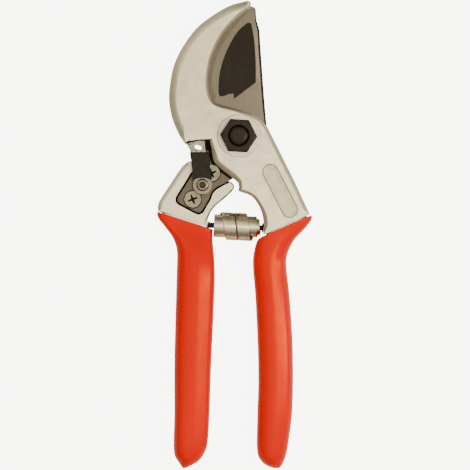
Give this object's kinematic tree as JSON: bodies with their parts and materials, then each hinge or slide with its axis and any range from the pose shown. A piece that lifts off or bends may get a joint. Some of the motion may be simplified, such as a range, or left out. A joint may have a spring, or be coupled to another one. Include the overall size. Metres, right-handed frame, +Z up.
{
  "type": "pruning shears",
  "caption": "Bypass pruning shears: aluminium hook and handles, coated steel blade, volute spring, swinging latch and orange vinyl grips.",
  "frame": {"origin": "pivot axis at the rear face of the pivot bolt's head, which is the plane the closed shears lie on", "axes": "+Y to the tip of the jaws, +X towards the hook's handle, +Z up from the table through the nut"},
  "size_m": [0.0674, 0.2031, 0.021],
  "materials": {
    "cast_aluminium": "satin, fine tumbled grain",
    "ground_steel": "ground, with a black coated hollow on the blade's front",
    "bright_steel": "plain bright",
    "black_steel": "black oxide, satin",
    "black_plastic": "moulded, satin",
    "orange_vinyl": "smooth dipped vinyl",
    "spring_steel": "polished strip"
  },
  "bodies": {
    "hook_side": {"hook_body": "cast_aluminium", "hook_grip": "orange_vinyl", "counter_blade": "ground_steel", "counter_screw_upper": "bright_steel", "counter_screw_lower": "bright_steel", "pivot_bolt": "black_steel", "pivot_nut": "black_steel", "nut_washer": "bright_steel", "spring_seat_right": "bright_steel", "spring": "spring_steel"},
    "blade_side": {"blade": "ground_steel", "blade_handle": "cast_aluminium", "blade_grip": "orange_vinyl", "tang_screw_lower": "bright_steel", "tang_screw_upper": "bright_steel", "latch_screw": "bright_steel", "spring_seat_left": "bright_steel"},
    "latch": {"latch_lever": "bright_steel", "latch_cover": "black_plastic", "latch_washer": "bright_steel"}
  },
  "joints": [
    {"name": "shears_pivot", "type": "hinge", "parent": "hook_side", "child": "blade_side", "pos_m": [0, 0, 0.0065], "axis": [0, 0, -1], "range_deg": [0, 24], "deforming": ["spring"]},
    {"name": "latch_swing", "type": "hinge", "parent": "blade_side", "child": "latch", "pos_m": [-0.0157, -0.0213, 0.0094], "axis": [0, 0, 1], "range_deg": [0, 82]}
  ],
  "couplings": [
    {"joint": "latch_swing", "follows": "shears_pivot", "ratio": 3.4}
  ]
}
